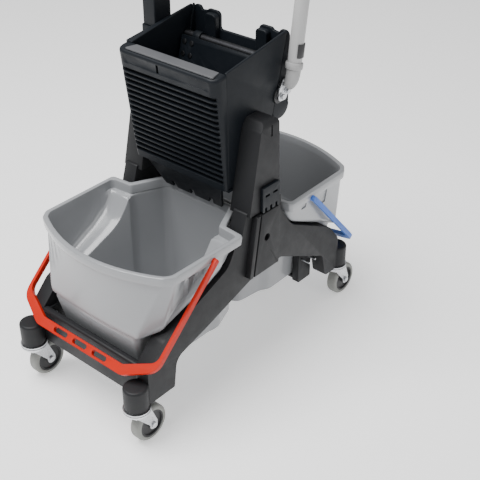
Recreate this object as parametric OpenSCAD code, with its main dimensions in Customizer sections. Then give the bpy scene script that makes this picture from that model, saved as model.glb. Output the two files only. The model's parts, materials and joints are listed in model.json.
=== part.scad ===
// Double mop bucket trolley: two lift-out buckets on a castored chassis, with a lever press between them.
// Millimetres. +Z is up, +X is the trolley's right, and the front bucket is towards -Y.
// Lengths along the trolley are measured from the press's mid plane, heights from the chassis underside.

/* [Casters] */
// Diameter of each caster wheel
wheel_d = 88; // [80:1:92]
// Width of each tyre
tyre_w = 28; // [22:1:30]
// How far each axle trails its swivel axis
caster_trail = 30; // [26:1:34]
// Distance between the left and right swivel axes
caster_track = 344; // [330:1:356]
// Distance of the front swivel axes from the mid plane
front_caster_y = 406; // [400:1:412]
// Distance of the rear swivel axes from the mid plane
rear_caster_y = 320; // [312:1:328]
// Diameter of the caster sockets
socket_d = 56; // [52:1:60]
// Height of the caster sockets
socket_h = 58; // [50:1:64]
// Diameter of the caster stems
stem_d = 11; // [9:0.5:13]

/* [Chassis] */
// Half width over the side frames
frame_half_w = 190; // [186:1:194]
// Thickness of each side frame
frame_t = 38; // [32:1:40]
// Distance of the apron's front face from the mid plane
apron_y = 384; // [380:1:390]
// Thickness of the apron
apron_t = 18; // [12:1:22]
// Height of the apron
apron_h = 92; // [80:1:94]
// Height of the front arms' straight top edge, carried back to the towers
front_arm_h = 238; // [235:1:241]
// Height of the rear arms where they leave the towers
rear_arm_h = 237; // [232:1:240]
// Slope of the rear arms' top edges, in degrees
arm_angle = 27.5; // [26:0.5:28.5]
// Slope of the front arms' top edge, in degrees
front_arm_angle = 21.4; // [20.8:0.2:22]
// Height of the frame's middle block, which carries the tower
block_h = 331; // [320:1:340]
// Distance of the rear crossbar's middle from the mid plane
crossbar_y = 213; // [205:1:216]
// Width of the rear crossbar's uprights along the trolley
crossbar_w = 50; // [36:1:52]
// Thickness of the rear crossbar's strap
strap_t = 9; // [6:1:12]
// Diameter of the chassis bolts
bolt_d = 6; // [5:0.5:8]

/* [Towers] */
// Height of the tower tops
tower_h = 530; // [520:1:545]
// Outer face of the towers, from the trolley's middle
tower_out = 197; // [194:1:200]
// Depth of the right tower's top behind the mid plane
tower_back = 42; // [38:1:48]
// Depth of the left tower's top behind the mid plane, under the push post
post_tower_back = 78; // [76:1:84]
// Thickness of the foot covers
foot_cover_t = 15; // [12:1:18]
// Height of the foot covers
foot_cover_h = 154; // [140:1:158]
// Diameter of the accessory hole in each foot cover
accessory_d = 18; // [12:1:22]
// Thickness of the latch plates
latch_t = 7; // [5:1:9]

/* [Press] */
// Half width over the press's sides
press_half_w = 139; // [134:1:142]
// Thickness of the press's walls
press_wall = 6; // [4:1:8]
// Height of the press's floor
press_floor_h = 372; // [368:1:380]
// Height of the front wall's top
press_top_h = 641; // [632:1:646]
// How far the front wall's foot stands ahead of the mid plane
press_foot_y = 73; // [70:1:76]
// How far the front wall's top leans out beyond its foot
press_lean = 30; // [24:1:34]
// Number of ribs on the front wall
rib_count = 16; // [10:1:18]
// Thickness of the pale strip along the front wall's top
strip_t = 4; // [2:0.5:6]
// Diameter of the jaw's hinge rod
rod_d = 18; // [14:1:20]
// Thickness of the jaw plate
jaw_t = 8; // [6:1:9]
// Height of the ears above the back wall's middle
ear_h = 43; // [34:1:46]

/* [Lever] */
// Backward lean of the lever at rest
lever_lean = 10.4; // [6:0.2:12]
// Diameter of the lever's shaft
shaft_d = 20; // [16:1:22]
// Diameter of the lever's tube
tube_d = 32; // [28:1:34]
// Length of the lever from its shaft to the tube's end
lever_l = 360; // [300:5:420]
// Length of the lever's grip
grip_l = 120; // [90:5:140]
// Length of the crank that pushes the jaw
crank_l = 40; // [36:1:42]
// Diameter of the return spring's wire
spring_wire = 2.4; // [1.8:0.2:3]
// Number of turns in the return spring
spring_turns = 8; // [5:1:9]

/* [Push handle] */
// Width of the push post across the trolley
post_w = 40; // [30:1:42]
// Depth of the push post along the trolley
post_depth = 52; // [40:1:54]
// Height of the push post's top
post_h = 836; // [760:2:900]
// Height of the sleeve above the tower
sleeve_h = 121; // [110:1:160]
// Wall of the sleeve
sleeve_wall = 4; // [3:0.5:5]
// Diameter of the push handle's bar
handle_d = 28; // [24:1:34]
// Length of the push handle's bar
handle_l = 150; // [120:2:190]

/* [Buckets] */
// Height of the buckets' rims
rim_h = 298; // [290:1:306]
// Height of the buckets' undersides
bucket_floor_h = 6; // [5:1:12]
// Half width of the rim at the bucket's shoulders
rim_shoulder_w = 207; // [204:1:208]
// How much narrower the rim is at the bucket's outer corners
rim_taper = 4; // [2:1:10]
// Distance of the rim's bulge from the mid plane
rim_bulge_y = 371; // [362:1:374]
// Thickness of the bucket's wall
bucket_wall = 4; // [3:0.5:5]
// Half width of each bucket's back end, under the press
tongue_w = 112; // [108:1:114]
// Height of the rim's outer band
rim_band = 22; // [16:1:24]
// Width of the rim's top face
lip_w = 12; // [9:0.5:14]
// How far the front bucket stands ahead of the mid plane
front_bucket_y = 4; // [3:0.5:6]
// How far the rear bucket stands behind the mid plane
rear_bucket_y = -9; // [-10:0.5:-6]

/* [Bails] */
// Distance of the front bail's pivot from the mid plane
front_bail_y = 188; // [184:1:190]
// Distance of the rear bail's pivot from the mid plane
rear_bail_y = 159; // [156:1:164]
// Height of the bails' pivots below the rim
bail_drop = 18; // [16:1:20]
// Length from the pivot to the middle of the grip
bail_l = 295; // [292:1:298]
// Width of the grip band
grip_w = 22; // [20:1:26]
// Thickness of the bail's strap arms
arm_w = 8; // [6:0.5:10]
// Width of the bail's strap arms
strap_w = 12.5; // [12.5:0.5:18]
// Thickness of the grip band
band_t = 10; // [8:0.5:11]
// Swing of the front bail away from hanging, where it rests on the apron
front_bail_angle = 47; // [47:0.5:50]
// Swing of the rear bail away from hanging, where it rests behind its bucket
rear_bail_angle = 42; // [42:0.5:46]
// Diameter of the bails' pivot pins
bail_pin_d = 5; // [5:0.5:5.5]

/* [Hidden] */
$fn = 48;
fit = 0.05;
clear = 0.3;
deck_z = wheel_d + 19;
front_reach = front_caster_y + socket_d / 2;
rear_reach = rear_caster_y + caster_trail + wheel_d / 2;
mid_y = (front_reach - rear_reach) / 2;
frame_in = frame_half_w - frame_t;
shoulder_y = 82;
casters = [
    ["front_left", -1, -front_caster_y],
    ["front_right", 1, -front_caster_y],
    ["rear_left", -1, rear_caster_y],
    ["rear_right", 1, rear_caster_y]
];
caster_pieces = ["caster_fork", "caster_axle", "wheel_hub", "wheel_tyre"];

chassis_black = "#3d3e40";
press_black = "#2b2d30";
strip_grey = "#6f7074";
bucket_grey = "#a9aaac";
red = "#e0452a";
blue = "#6d8fd6";
tube_grey = "#ababab";
zinc = "#c9ccd0";
tyre_grey = "#9a9b96";
hub_black = "#262729";

// Helpers for outlines
function unit(v) = v / norm(v);
function flat(p) = [p[0], p[1]];
// Arc of radius r that rounds the corner at b, between its neighbours a and c
function corner(a, b, c, r, n) =
    let (
        u = unit(a - b),
        w = unit(c - b),
        half = acos(u * w) / 2,
        o = b + unit(u + w) * r / sin(half),
        p = b + u * r / tan(half) - o,
        q = b + w * r / tan(half) - o
    )
    r == 0 ? [b] : [for (i = [0:n]) o + r * unit(p * (n - i) + q * i)];
// Outline whose corners, given as [x, y, radius], are rounded
function rounded(pts, n = 6) =
    let (last = len(pts) - 1)
    [for (i = [0:last])
        each corner(flat(pts[i == 0 ? last : i - 1]), flat(pts[i]), flat(pts[i == last ? 0 : i + 1]), pts[i][2], n)];
function box_outline(x0, y0, x1, y1, r) = [[x0, y0, r], [x1, y0, r], [x1, y1, r], [x0, y1, r]];

// Helpers for placing
module trolley() {
    translate([0, mid_y, deck_z]) children();
}
module on_side(s) {
    mirror([s < 0 ? 1 : 0, 0, 0]) children();
}
// Extrudes an outline drawn in Y and Z along X
module along_x(x0, x1) {
    translate([x0, 0, 0]) rotate([90, 0, 90]) linear_extrude(x1 - x0) children();
}
// Extrudes an outline drawn in X and Z along Y
module along_y(y0, y1) {
    translate([0, y1, 0]) rotate([90, 0, 0]) linear_extrude(y1 - y0) children();
}
module rod_x(x0, x1, d) {
    translate([x0, 0, 0]) rotate([0, 90, 0]) cylinder(d = d, h = x1 - x0);
}

// Side frames: a front arm, a middle block and a rear arm in one moulding, with two caster sockets
// An arm's top edge: its height at the shoulder, its slope, and the reach and width of its curve up to the block
front_arm = [front_arm_h, front_arm_angle, 55, 36];
rear_arm = [rear_arm_h, arm_angle, 36, 74];
function arm_top(a, y) =
    a[0] - (y - shoulder_y) * tan(a[1]) + pow(max(0, shoulder_y + a[2] - y), 2) / a[3];
function front_arm_z(y) = arm_top(front_arm, y);
function rear_arm_z(y) = arm_top(rear_arm, y);
// The highest that the buckets' ledges reach
ledge_top = rim_h - 31;
front_bend_y = apron_y - 52;
rear_end_y = rear_caster_y - 18;
rear_bend_y = rear_end_y - 40;
front_leg_w = 78;
rear_leg_w = 50;
block_front = 62;
block_back = 58;
block_under = 153;
frame_outline = [
    [-apron_y, 0, 3],
    [-apron_y, apron_h - 4, 20],
    [-front_bend_y, front_arm_z(front_bend_y), 30],
    for (y = [shoulder_y + front_arm[2]:-6:shoulder_y + 22]) [-y, front_arm_z(y), 0],
    [-shoulder_y - 19, ledge_top - 3, 0],
    [-shoulder_y - 1, ledge_top - 2, 0],
    [-block_front, block_h, 4],
    [block_back, block_h, 4],
    for (y = [block_back:6:shoulder_y + rear_arm[2]]) [y, rear_arm_z(y), 0],
    [rear_bend_y, rear_arm_z(rear_bend_y), 45],
    [rear_end_y, rear_arm_z(rear_bend_y) - 51, 25],
    [rear_end_y, 0, 3],
    [rear_end_y - rear_leg_w, 0, 12],
    [rear_end_y - rear_leg_w - 16, 70, 14],
    [block_back + 6, block_under + 3, 16],
    [-block_front + 20, block_under - 3, 40],
    [-(apron_y + block_front) / 2 + 28, 102, 80],
    [-apron_y + front_leg_w + 10, 74, 32],
    [-apron_y + front_leg_w, 0, 3]
];
stem_depth = socket_h - 16;
apron_bolts = [[-apron_y + apron_t + 12, 24], [-apron_y + apron_t + 12, apron_h - 26]];
crossbar_bolts = [[crossbar_y - 12, 60], [crossbar_y + 12, 60]];
bolt_grip = 26;
module socket_body() {
    r = socket_d / 2;
    rotate_extrude()
        polygon(rounded([[0, 0, 0], [r, 0, 2], [r, socket_h, 6], [0, socket_h, 0]]));
}
module side_frame(s) {
    color(chassis_black) trolley() on_side(s) difference() {
        union() {
            along_x(frame_in, frame_half_w) polygon(rounded(frame_outline));
            for (y = [-front_caster_y, rear_caster_y])
                translate([caster_track / 2, y, 0]) socket_body();
        }
        for (y = [-front_caster_y, rear_caster_y])
            translate([caster_track / 2, y, -1]) cylinder(d = stem_d + 2 * fit, h = stem_depth + 1);
        for (b = concat(apron_bolts, crossbar_bolts))
            translate([0, b[0], b[1]]) rod_x(frame_in - 1, frame_in + bolt_grip, bolt_d + 2 * fit);
    }
}

// Front apron: the upright wall between the front casters, with a foot and bolting flanges
apron_foot = 28;
apron_floor_t = 4;
flange_t = 6;
module front_apron() {
    inner = -apron_y + apron_t;
    color(chassis_black) trolley() difference() {
        union() {
            along_x(-frame_in, frame_in) polygon(rounded([
                [-apron_y, 0, 3],
                [-apron_y, apron_h, 6],
                [inner, apron_h, 6],
                [inner, apron_floor_t, 3],
                [inner + apron_foot, apron_floor_t, 1.5],
                [inner + apron_foot, 0, 1.5]
            ]));
            for (s = [-1, 1]) on_side(s)
                along_x(frame_in - flange_t, frame_in)
                    polygon(rounded(box_outline(inner - 4, 0, inner + apron_foot, apron_h - 6, 3)));
        }
        for (s = [-1, 1]) on_side(s) for (b = apron_bolts)
            translate([0, b[0], b[1]]) rod_x(frame_in - flange_t - 1, frame_in + 1, bolt_d + 2 * fit);
    }
}

// Rear crossbar: two uprights bolted inside the side frames, and a strap under the rear bucket
crossbar_t = 19;
crossbar_h = 76;
head_d = 12;
head_t = 4;
module rear_crossbar() {
    color(chassis_black) trolley() difference() {
        union() {
            for (s = [-1, 1]) on_side(s)
                along_x(frame_in - crossbar_t, frame_in) polygon(rounded(box_outline(
                    crossbar_y - crossbar_w / 2, -strap_t + 3, crossbar_y + crossbar_w / 2, crossbar_h, 4)));
            along_x(-frame_in + crossbar_t, frame_in - crossbar_t) polygon(rounded(box_outline(
                crossbar_y - crossbar_w / 2 + 8, -strap_t + 3, crossbar_y + crossbar_w / 2 - 8, 3, 2)));
        }
        for (s = [-1, 1]) on_side(s) for (b = crossbar_bolts) translate([0, b[0], b[1]]) {
            rod_x(frame_in - crossbar_t - 1, frame_in + 1, bolt_d + 2 * fit);
            rod_x(frame_in - crossbar_t - 1, frame_in - crossbar_t + head_t + 1, head_d + 1);
        }
    }
}

// Bolts that hold the apron and the crossbar to the side frames
module bolt(seat) {
    rod_x(seat, frame_in + bolt_grip - 1, bolt_d);
    difference() {
        rod_x(seat - head_t, seat, head_d);
        translate([seat - head_t - 1, 0, 0]) rotate([0, 90, 0]) cylinder(d = bolt_d, h = 3, $fn = 6);
    }
}
module frame_bolts() {
    color(zinc) trolley() for (s = [-1, 1]) on_side(s) {
        for (b = apron_bolts) translate([0, b[0], b[1]]) bolt(frame_in - flange_t);
        for (b = crossbar_bolts) translate([0, b[0], b[1]]) bolt(frame_in - crossbar_t + head_t + 1);
    }
}

// Towers: the posts that carry the press
tower_base_front = 60;
tower_top_front = 20;
tower_slot = [6, 26];
// Heights over which a deep tower narrows to the block
tower_neck = [34, 62];
function tower_outline(back) = [
    [-tower_base_front, block_h, 0],
    [-tower_top_front, tower_h - 20, 14],
    [-tower_top_front + 14, tower_h, 10],
    [back, tower_h, 12],
    [back + 1, block_h + tower_neck[1], 0],
    [min(back + 2, block_back), block_h + tower_neck[0], 0],
    [min(back + 2, block_back), block_h, 0]
];
module tower(s, back) {
    color(chassis_black) trolley() on_side(s) difference() {
        intersection() {
            along_x(press_half_w, tower_out) polygon(rounded(tower_outline(back)));
            along_y(-tower_base_front - 1, back + 3) polygon(rounded([
                [press_half_w - 1, block_h - 1, 0],
                [tower_out, block_h - 1, 0],
                [tower_out - 4, tower_h, 16],
                [press_half_w - 1, tower_h, 0]
            ]));
        }
        along_x(tower_out - 6, tower_out + 1) translate([13, tower_h - 12 - tower_slot[1]]) square(tower_slot);
    }
}
module tower_left() {
    tower(-1, post_tower_back);
}
module tower_right() {
    tower(1, tower_back);
}

// Foot covers: raised covers on the outside of the middle blocks, each with a round accessory hole
foot_cover_bottom = block_h - foot_cover_h - 13;
accessory_y = -8;
accessory_h = foot_cover_bottom + foot_cover_h * 0.575;
cover_groove = [12, 5];
module foot_cover(s) {
    top = foot_cover_bottom + foot_cover_h;
    low_front = -block_front - 6;
    top_front = -block_front + 19;
    color(chassis_black) trolley() on_side(s) difference() {
        along_x(frame_half_w, frame_half_w + foot_cover_t) polygon(rounded([
            [low_front, foot_cover_bottom, 4],
            [36, foot_cover_bottom, 4],
            [36, top, 6],
            [top_front, top, 6]
        ]));
        translate([0, accessory_y, accessory_h])
            rod_x(frame_half_w - 1, frame_half_w + foot_cover_t + 1, accessory_d);
        along_x(frame_half_w + foot_cover_t - 4, frame_half_w + foot_cover_t + 1) polygon([
            [low_front + cover_groove[0], foot_cover_bottom - 1],
            [low_front + cover_groove[0] + cover_groove[1], foot_cover_bottom - 1],
            [top_front + cover_groove[0] + cover_groove[1], top + 1],
            [top_front + cover_groove[0], top + 1]
        ]);
    }
}

// Latch plates: flat plates on the towers' outer faces, with two slots and a toothed lower edge
latch_bottom = block_h - 11;
latch_h = 62;
latch_y0 = -24;
latch_y1 = 36;
module latch_plate(s) {
    tooth = [7, 12];
    color(press_black) trolley() on_side(s) difference() {
        along_x(tower_out, tower_out + latch_t)
            polygon(rounded(box_outline(latch_y0, latch_bottom, latch_y1, latch_bottom + latch_h, 4)));
        along_x(tower_out - 1, tower_out + latch_t + 1) {
            for (y = [latch_y0 + 9, latch_y1 - 24])
                translate([y, latch_bottom + latch_h * 0.6]) square([15, 5]);
            for (i = [0:2])
                translate([latch_y0 + 8 + i * 18, latch_bottom - 1]) square(tooth);
        }
    }
}

// Press front wall: a hollowed wedge with rounded front corners and a panel of horizontal ribs
wall_h = press_top_h - press_floor_h;
wall_tilt = atan(press_lean / wall_h);
wall_foot_t = 10;
wall_top_in = press_foot_y + press_lean - 35;
panel_half_w = press_half_w - 17;
panel_z0 = 20;
panel_z1 = wall_h - 31;
panel_depth = 6;
rib_sink = 1;
rib_pitch = (panel_z1 - panel_z0) / rib_count;
// Places a shape on the front wall's outer face, with Y going into the wall
module on_front_wall() {
    translate([0, -press_foot_y, press_floor_h]) rotate([wall_tilt, 0, 0]) children();
}
module press_front_wall() {
    color(press_black) trolley() union() {
        difference() {
            intersection() {
                along_x(-press_half_w, press_half_w) polygon([
                    [-press_foot_y, press_floor_h],
                    [-press_foot_y - press_lean, press_top_h],
                    [-wall_top_in, press_top_h],
                    [-press_foot_y + wall_foot_t, press_floor_h]
                ]);
                on_front_wall() translate([0, 0, -20]) linear_extrude(wall_h + 40) polygon(rounded([
                    [-press_half_w, 0, 12],
                    [press_half_w, 0, 12],
                    [press_half_w, 60, 0],
                    [-press_half_w, 60, 0]
                ]));
            }
            on_front_wall() translate([-panel_half_w, -1, panel_z0])
                cube([2 * panel_half_w, panel_depth + 1, panel_z1 - panel_z0]);
            on_front_wall() translate([-28, -1, panel_z1 + 4]) cube([6, 6, 22]);
        }
        on_front_wall() for (i = [0:rib_count - 1])
            translate([0, 0, panel_z0 + (i + 0.5) * rib_pitch])
                along_x(-panel_half_w - rib_sink, panel_half_w + rib_sink)
                    polygon([[panel_depth + rib_sink, -5.5], [1, -1], [1, 1.5], [panel_depth + rib_sink, 3]]);
    }
}

// Press top strip: the pale flat strip along the front wall's top
module press_top_strip() {
    y1 = -wall_top_in;
    color(strip_grey) trolley() translate([0, 0, press_top_h]) linear_extrude(strip_t) polygon(rounded([
        [-press_half_w + 11, y1 - 29, 3],
        [press_half_w - 11, y1 - 29, 3],
        [press_half_w - 19, y1, 3],
        [-press_half_w + 19, y1, 3]
    ]));
}

// Press sides: flat panels whose top edges rise to the back
side_top_front = press_top_h + 6;
side_top_back = [132, press_top_h + 42];
side_back_foot = [87, press_top_h - 137];
side_foot_back = [58, press_floor_h + 4];
pivot_y = 104;
pivot_h = press_top_h - 101;
bush_d = shaft_d + 6;
module press_side(s) {
    color(press_black) trolley() on_side(s) difference() {
        along_x(press_half_w - press_wall, press_half_w) polygon(rounded([
            [-wall_top_in + 0.2, side_top_front, 2],
            [side_top_back[0], side_top_back[1], 6],
            [side_back_foot[0], side_back_foot[1], 3],
            [side_foot_back[0], side_foot_back[1], 3],
            [-press_foot_y + wall_foot_t + 0.2, press_floor_h + 2, 0]
        ]));
        translate([0, pivot_y, pivot_h])
            rod_x(press_half_w - press_wall - 1, press_half_w + 1, bush_d + 2 * fit);
    }
}

// Press back wall: an upright plate with an ear at each side, each ear with two bumps
back_y0 = 134;
back_y1 = 142;
back_foot_h = press_top_h - 128;
back_mid_h = press_top_h - 5;
module press_back_wall() {
    bump_r = 11;
    ear_top = back_mid_h + ear_h;
    ear_in = press_half_w - 82;
    color(press_black) trolley() along_y(back_y0, back_y1) polygon(rounded([
        [-press_half_w, back_foot_h, 2],
        [press_half_w, back_foot_h, 2],
        [press_half_w, ear_top, bump_r],
        [press_half_w - 22, ear_top, bump_r - 2],
        [press_half_w - 27, ear_top - 9, 3],
        [press_half_w - 42, ear_top - 7, 3],
        [press_half_w - 47, ear_top - 2, 8],
        [ear_in, ear_top - 2, bump_r],
        [ear_in, back_mid_h, 6],
        [-ear_in, back_mid_h, 6],
        [-ear_in, ear_top - 2, bump_r],
        [-press_half_w + 47, ear_top - 2, 8],
        [-press_half_w + 42, ear_top - 7, 3],
        [-press_half_w + 27, ear_top - 9, 3],
        [-press_half_w + 22, ear_top, bump_r - 2],
        [-press_half_w, ear_top, bump_r]
    ]));
}

// Press back housing: cheeks and a curved floor round the lever's shaft, and the lower back panel
module press_back_housing() {
    inner_w = press_half_w - press_wall;
    low = back_foot_h - 30;
    color(press_black) trolley() difference() {
        union() {
            difference() {
                along_x(-press_half_w, press_half_w) polygon(rounded([
                    [side_top_back[0] + 0.4, side_top_back[1] - 2, 0],
                    [side_back_foot[0] + 0.4, side_back_foot[1], 0],
                    [side_back_foot[0] + 3, low, 8],
                    [back_y1, low, 29],
                    [back_y1, back_foot_h, 0],
                    [back_y0, back_foot_h, 0],
                    [back_y0, side_top_back[1] - 2, 0]
                ]));
                along_x(-inner_w, inner_w) polygon(rounded([
                    [40, low + 30, 0],
                    [side_back_foot[0] + 9, low + 7, 6],
                    [back_y0 + 1, low + 7, 26],
                    [back_y0 + 1, side_top_back[1] + 5, 0],
                    [40, side_top_back[1] + 5, 0]
                ]));
            }
            along_x(-inner_w, inner_w) polygon([
                [side_back_foot[0] + 10, low + 1],
                [side_back_foot[0] + 10, low + 6],
                [side_back_foot[0] - press_wall, side_back_foot[1] - 6],
                [side_foot_back[0] - press_wall, press_floor_h],
                [side_foot_back[0], press_floor_h],
                [side_back_foot[0] - 4, low + 1]
            ]);
        }
        translate([0, pivot_y, pivot_h]) rod_x(-press_half_w - 1, press_half_w + 1, bush_d + 2 * fit);
    }
}

// Press floor: a drain plate at the bottom of the hopper
floor_t = 6;
drain_d = 9;
module press_floor() {
    inner_w = press_half_w - press_wall;
    y0 = -press_foot_y + wall_foot_t;
    color(press_black) trolley() difference() {
        translate([-press_half_w, y0, press_floor_h - floor_t])
            cube([2 * press_half_w, side_foot_back[0] - y0, floor_t]);
        for (x = [-5:5]) for (y = [0:4])
            translate([x * inner_w / 6, y0 + 14 + y * 18, press_floor_h - floor_t - 1])
                cylinder(d = drain_d, h = floor_t + 2);
    }
}

// Drip lip: the sloping plate that leads the water from the press into the front bucket
lip_half_w = tongue_w - 24;
lip_tip_y = 30;
module drip_lip() {
    top = press_floor_h - floor_t;
    tip = rim_h + 6;
    color(press_black) trolley() difference() {
        along_x(-lip_half_w, lip_half_w) polygon([
            [-press_foot_y + wall_foot_t + 1, top],
            [-press_foot_y + wall_foot_t + 9, top],
            [-lip_tip_y + 6, tip + 2],
            [-lip_tip_y, tip]
        ]);
        for (i = [-1:1]) translate([i * 56 - 6, -lip_tip_y - 14, tip - 4]) cube([12, 30, 16]);
    }
}

// Push post: a rectangular post in a sleeve on the left tower, with a short bar to push by
post_x = (press_half_w + tower_out) / 2;
post_y = post_tower_back - sleeve_wall - post_depth / 2 - 3;
post_foot = tower_h + 6;
module post_box(grow, z0, z1) {
    translate([-post_x, post_y, z0]) linear_extrude(z1 - z0) polygon(rounded(box_outline(
        -post_w / 2 - grow, -post_depth / 2 - grow, post_w / 2 + grow, post_depth / 2 + grow, 4 + grow)));
}
module post_sleeve() {
    color(press_black) trolley() difference() {
        post_box(sleeve_wall, tower_h, tower_h + sleeve_h);
        post_box(fit, post_foot, tower_h + sleeve_h + 1);
    }
}
module push_post() {
    color(press_black) trolley() post_box(0, post_foot, post_h);
}
module push_handle() {
    bar_z = post_h + handle_d / 2 + 2;
    color(hub_black) trolley() union() {
        post_box(1, post_h, post_h + handle_d + 4);
        translate([0, post_y, bar_z]) {
            rod_x(-post_x, -post_x + handle_l - handle_d / 2, handle_d);
            translate([-post_x + handle_l - handle_d / 2, 0, 0]) sphere(d = handle_d);
        }
    }
}

// Lever: a shaft through the press's cheeks, a bracket, an elbow, a tube and a grip
bush_flange = 3;
bracket_t = 4;
bracket_x = press_half_w + bush_flange + clear;
pad_t = 12;
lever_x = bracket_x + bracket_t + tube_d / 2;
collar_z = 66;
collar_h = 15;
bracket_r = 21;
lever_bolt_z = [24, 42];
module at_pivot() {
    translate([0, pivot_y, pivot_h]) children();
}
// Places a shape on the lever's axis, with Z along its tube
module on_lever() {
    at_pivot() rotate([-lever_lean, 0, 0]) children();
}
module shaft_bushes() {
    color(hub_black) trolley() at_pivot() for (s = [-1, 1]) on_side(s) difference() {
        union() {
            rod_x(press_half_w - press_wall - 2, press_half_w, bush_d);
            rod_x(press_half_w, press_half_w + bush_flange, bush_d + 8);
        }
        rod_x(press_half_w - press_wall - 3, press_half_w + bush_flange + 1, shaft_d + 2 * fit);
    }
}
module lever_shaft() {
    color(zinc) trolley() at_pivot() rod_x(-press_half_w - bush_flange - 2, bracket_x + bracket_t + 2, shaft_d);
}
module lever_bracket() {
    color(zinc) trolley() on_lever() difference() {
        union() {
            rod_x(bracket_x, bracket_x + bracket_t, 2 * bracket_r);
            along_x(bracket_x, bracket_x + bracket_t) polygon(rounded(box_outline(-14, 0, 14, 54, 4)));
        }
        rod_x(bracket_x - 1, bracket_x + bracket_t + 1, shaft_d + 2 * fit);
        for (z = lever_bolt_z) translate([0, 0, z]) rod_x(bracket_x - 1, bracket_x + bracket_t + 1, bolt_d + 2 * fit);
    }
}
module lever_bolts() {
    color(zinc) trolley() on_lever() for (z = lever_bolt_z) translate([0, 0, z]) {
        rod_x(bracket_x, bracket_x + bracket_t + pad_t, bolt_d);
        translate([bracket_x + bracket_t + pad_t, 0, 0]) rotate([0, 90, 0]) cylinder(d = head_d, h = 5, $fn = 6);
    }
}
module lever_elbow() {
    pad_x = bracket_x + bracket_t;
    color(tube_grey) trolley() on_lever() difference() {
        union() {
            along_x(pad_x, pad_x + pad_t) polygon(rounded(box_outline(-13, shaft_d / 2 + 4, 13, collar_z, 6)));
            translate([lever_x, 0, lever_bolt_z[1] + 10]) cylinder(d = tube_d - 2, h = collar_z - lever_bolt_z[1] - 6);
            translate([lever_x, 0, collar_z]) cylinder(d = tube_d + 7, h = collar_h);
        }
        translate([lever_x, 0, collar_z + 4]) cylinder(d = tube_d + 2 * fit, h = collar_h);
        for (z = lever_bolt_z) translate([0, 0, z]) rod_x(pad_x - 1, pad_x + pad_t + 1, bolt_d + 2 * fit);
        for (z = lever_bolt_z) translate([0, 0, z]) rod_x(pad_x + pad_t, lever_x + tube_d, head_d + 3);
    }
}
module lever_tube() {
    color(tube_grey) trolley() on_lever() difference() {
        translate([lever_x, 0, collar_z + 4]) cylinder(d = tube_d, h = lever_l - collar_z - 4);
        translate([lever_x, 0, collar_z + 3]) cylinder(d = tube_d - 4, h = lever_l - collar_z - 6);
    }
}
clip_t = 2.5;
clip_z = 96;
clip_h = 30;
module lever_clip() {
    color(hub_black) trolley() on_lever() translate([lever_x, 0, clip_z]) intersection() {
        difference() {
            cylinder(d = tube_d + 2 * clip_t, h = clip_h);
            translate([0, 0, -1]) cylinder(d = tube_d + 2 * fit, h = clip_h + 2);
        }
        rotate([0, 0, 20]) translate([0, 0, -1]) cube([tube_d, tube_d, clip_h + 2]);
    }
}
module lever_grip() {
    color(hub_black) trolley() on_lever() translate([lever_x, 0, lever_l - grip_l]) difference() {
        rotate_extrude() polygon(rounded([
            [0, 0, 0],
            [tube_d / 2 + 3, 0, 2],
            [tube_d / 2 + 2, grip_l / 2, 60],
            [tube_d / 2 + 4, grip_l + 6, 6],
            [0, grip_l + 6, 0]
        ]));
        translate([0, 0, -1]) cylinder(d = tube_d + 2 * fit, h = grip_l + 1);
    }
}

// Crank: two arms on the shaft and the cross roller that pushes the jaw forward
crank_angle = 45;
crank_half_w = 62;
crank_arm_w = 12;
roller_d = 14;
crank_tip = crank_l * [-sin(crank_angle), -cos(crank_angle)];
module lever_crank() {
    color(zinc) trolley() at_pivot() difference() {
        union() {
            for (s = [-1, 1]) on_side(s) {
                rod_x(crank_half_w - crank_arm_w, crank_half_w, shaft_d + 12);
                translate([crank_half_w - crank_arm_w + 1, 0, 0]) rotate([-crank_angle, 0, 0])
                    translate([0, -6, -crank_l]) cube([crank_arm_w - 2, 12, crank_l]);
            }
            translate([0, crank_tip[0], crank_tip[1]]) rod_x(-crank_half_w, crank_half_w, roller_d);
        }
        rod_x(-crank_half_w - 1, crank_half_w + 1, shaft_d + 2 * fit);
    }
}

// Return spring: one wire wound round the shaft, swept along a helix of points
spring_x0 = crank_half_w + 4;
spring_pitch = spring_wire + 1.2;
spring_r = (shaft_d + spring_wire) / 2 + 2 * clear;
spring_rings = 16;
spring_sides = 6;
spring_steps = spring_turns * spring_rings;
function spring_point(i) =
    let (a = 360 * i / spring_rings)
    [spring_x0 + spring_wire / 2 + spring_pitch * i / spring_rings, spring_r * cos(a), spring_r * sin(a)];
function spring_ring(i) =
    let (a = 360 * i / spring_rings, c = spring_point(i))
    [for (k = [0:spring_sides - 1])
        let (b = 360 * k / spring_sides, out = spring_wire / 2 * cos(b), over = spring_wire / 2 * sin(b))
        c + [over, out * cos(a), out * sin(a)]];
function tube_faces(rings, sides) = concat(
    [[for (k = [0:sides - 1]) k]],
    [for (i = [0:rings - 2]) for (k = [0:sides - 1])
        let (a = i * sides + k, b = i * sides + (k + 1) % sides)
        each [[a, a + sides, b], [b, a + sides, b + sides]]],
    [[for (k = [sides - 1:-1:0]) (rings - 1) * sides + k]]
);
echo(spring_gap = min([for (i = [0:spring_steps - spring_rings])
    norm(spring_point(i + spring_rings) - spring_point(i)) - spring_wire]));
module return_spring() {
    color(zinc) trolley() at_pivot() polyhedron(
        points = [for (i = [0:spring_steps]) each spring_ring(i)],
        faces = tube_faces(spring_steps + 1, spring_sides), convexity = 10);
}

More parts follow.
